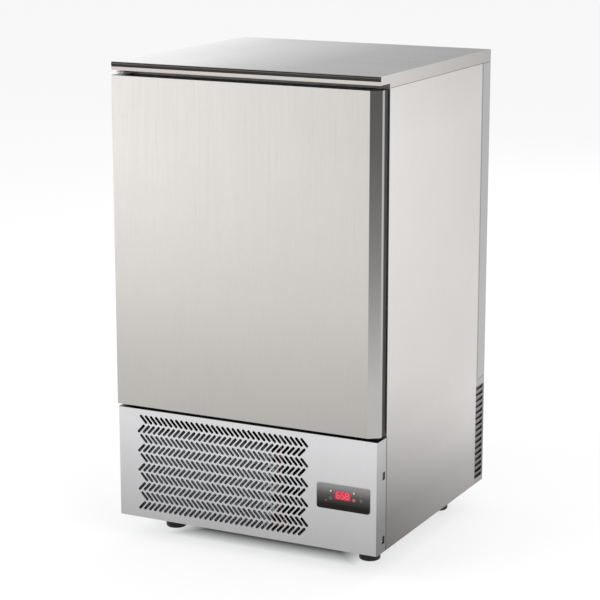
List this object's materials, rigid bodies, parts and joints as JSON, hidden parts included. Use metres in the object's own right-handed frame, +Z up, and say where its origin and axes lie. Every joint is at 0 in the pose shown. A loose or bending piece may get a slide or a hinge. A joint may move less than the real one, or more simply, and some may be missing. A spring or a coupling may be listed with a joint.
{
  "type": "blast chiller",
  "caption": "Free-standing stainless blast chiller: one insulated door over a herringbone-grilled compressor bay, with tray runners and twin fans inside.",
  "frame": {"origin": "on the floor under the middle of the cabinet's box", "axes": "+Z up, -Y out of the door, +X to the handle side of the door"},
  "size_m": [0.75, 0.715, 1.27],
  "materials": {
    "door_steel": "satin",
    "worktop_steel": "satin",
    "side_steel": "satin",
    "lower_panel_steel": "satin",
    "back_steel": "matte",
    "chamber_steel": "satin",
    "bracket_steel": "satin",
    "screw_steel": "satin",
    "galvanised": "matte",
    "foam": "matte",
    "black_plastic": "satin",
    "foot_plastic": "satin",
    "bezel_plastic": "satin",
    "display_red": "gloss",
    "key_plastic": "satin",
    "lamp_plastic": "gloss",
    "board_green": "satin",
    "grey_plastic": "matte",
    "compressor_black": "gloss",
    "rubber_black": "matte",
    "fin_aluminium": "satin",
    "fin_dark": "satin",
    "copper_tube": "satin",
    "motor_metal": "satin",
    "fan_aluminium": "satin",
    "white_plastic": "satin",
    "guard_wire": "satin",
    "fan_plastic": "satin",
    "gasket_rubber": "matte"
  },
  "bodies": {
    "cabinet": {"worktop": "worktop_steel", "worktop_core": "foam", "side_panel_left": "side_steel", "side_panel_right": "side_steel", "back_panel": "back_steel", "rear_service_panel": "galvanised", "front_frame": "chamber_steel", "thermal_break": "black_plastic", "inner_liner": "chamber_steel", "insulation_foam": "foam", "cabinet_underpan": "galvanised", "base_frame": "galvanised", "foot_sleeves": "foot_plastic", "lower_front_panel": "lower_panel_steel", "control_bezel": "bezel_plastic", "display_window": "display_red", "indicator_lenses": "lamp_plastic", "control_board": "board_green", "electrical_box": "grey_plastic", "cord_bush": "black_plastic", "compressor": "compressor_black", "compressor_mounts": "rubber_black", "condenser_fins": "fin_dark", "condenser_tubes": "copper_tube", "condenser_shroud": "black_plastic", "condenser_motor": "motor_metal", "liquid_receiver": "compressor_black", "filter_drier": "copper_tube", "refrigerant_pipes": "copper_tube", "drain_pipe": "white_plastic", "condensate_tray": "chamber_steel", "rack_left": "chamber_steel", "rack_right": "chamber_steel", "runners_left": "chamber_steel", "runners_right": "chamber_steel", "fan_plenum": "chamber_steel", "fan_guards": "guard_wire", "evaporator_motors": "motor_metal", "evaporator_fins": "fin_aluminium", "evaporator_tubes": "copper_tube", "hinge_brackets": "bracket_steel", "panel_screws": "screw_steel"},
    "door": {"door_skin": "door_steel", "door_foam": "foam", "door_liner": "chamber_steel", "door_profile": "black_plastic", "door_gasket": "gasket_rubber", "door_bushes": "white_plastic"},
    "foot_front_left_body": {"foot_front_left": "foot_plastic"},
    "foot_front_right_body": {"foot_front_right": "foot_plastic"},
    "foot_rear_left_body": {"foot_rear_left": "foot_plastic"},
    "foot_rear_right_body": {"foot_rear_right": "foot_plastic"},
    "key_upper_left_body": {"key_upper_left": "key_plastic"},
    "key_lower_left_body": {"key_lower_left": "key_plastic"},
    "key_upper_right_body": {"key_upper_right": "key_plastic"},
    "key_lower_right_body": {"key_lower_right": "key_plastic"},
    "lower_fan": {"evaporator_fan_lower": "fan_plastic"},
    "upper_fan": {"evaporator_fan_upper": "fan_plastic"},
    "bay_fan": {"condenser_fan": "fan_aluminium"}
  },
  "joints": [
    {"name": "door_hinge", "type": "hinge", "parent": "cabinet", "child": "door", "pos_m": [-0.36, -0.3295, 0.804], "axis": [0, 0, -1], "range_deg": [0, 110]},
    {"name": "foot_front_left_level", "type": "slide", "parent": "cabinet", "child": "foot_front_left_body", "axis": [0, 0, -1], "range_m": [0, 0.02]},
    {"name": "foot_front_right_level", "type": "slide", "parent": "cabinet", "child": "foot_front_right_body", "axis": [0, 0, -1], "range_m": [0, 0.02]},
    {"name": "foot_rear_left_level", "type": "slide", "parent": "cabinet", "child": "foot_rear_left_body", "axis": [0, 0, -1], "range_m": [0, 0.02]},
    {"name": "foot_rear_right_level", "type": "slide", "parent": "cabinet", "child": "foot_rear_right_body", "axis": [0, 0, -1], "range_m": [0, 0.02]},
    {"name": "key_upper_left_press", "type": "slide", "parent": "cabinet", "child": "key_upper_left_body", "axis": [0, 1, 0], "range_m": [0, 0.0008], "stiffness_N_per_m": 1200},
    {"name": "key_lower_left_press", "type": "slide", "parent": "cabinet", "child": "key_lower_left_body", "axis": [0, 1, 0], "range_m": [0, 0.0008], "stiffness_N_per_m": 1200},
    {"name": "key_upper_right_press", "type": "slide", "parent": "cabinet", "child": "key_upper_right_body", "axis": [0, 1, 0], "range_m": [0, 0.0008], "stiffness_N_per_m": 1200},
    {"name": "key_lower_right_press", "type": "slide", "parent": "cabinet", "child": "key_lower_right_body", "axis": [0, 1, 0], "range_m": [0, 0.0008], "stiffness_N_per_m": 1200},
    {"name": "lower_fan_spin", "type": "hinge", "parent": "cabinet", "child": "lower_fan", "pos_m": [0, 0.1835, 0.639], "axis": [0, 1, 0], "continuous": true},
    {"name": "upper_fan_spin", "type": "hinge", "parent": "cabinet", "child": "upper_fan", "pos_m": [0, 0.1835, 0.969], "axis": [0, 1, 0], "continuous": true},
    {"name": "bay_fan_spin", "type": "hinge", "parent": "cabinet", "child": "bay_fan", "pos_m": [-0.147, -0.227, 0.1813], "axis": [0, 1, 0], "continuous": true}
  ]
}
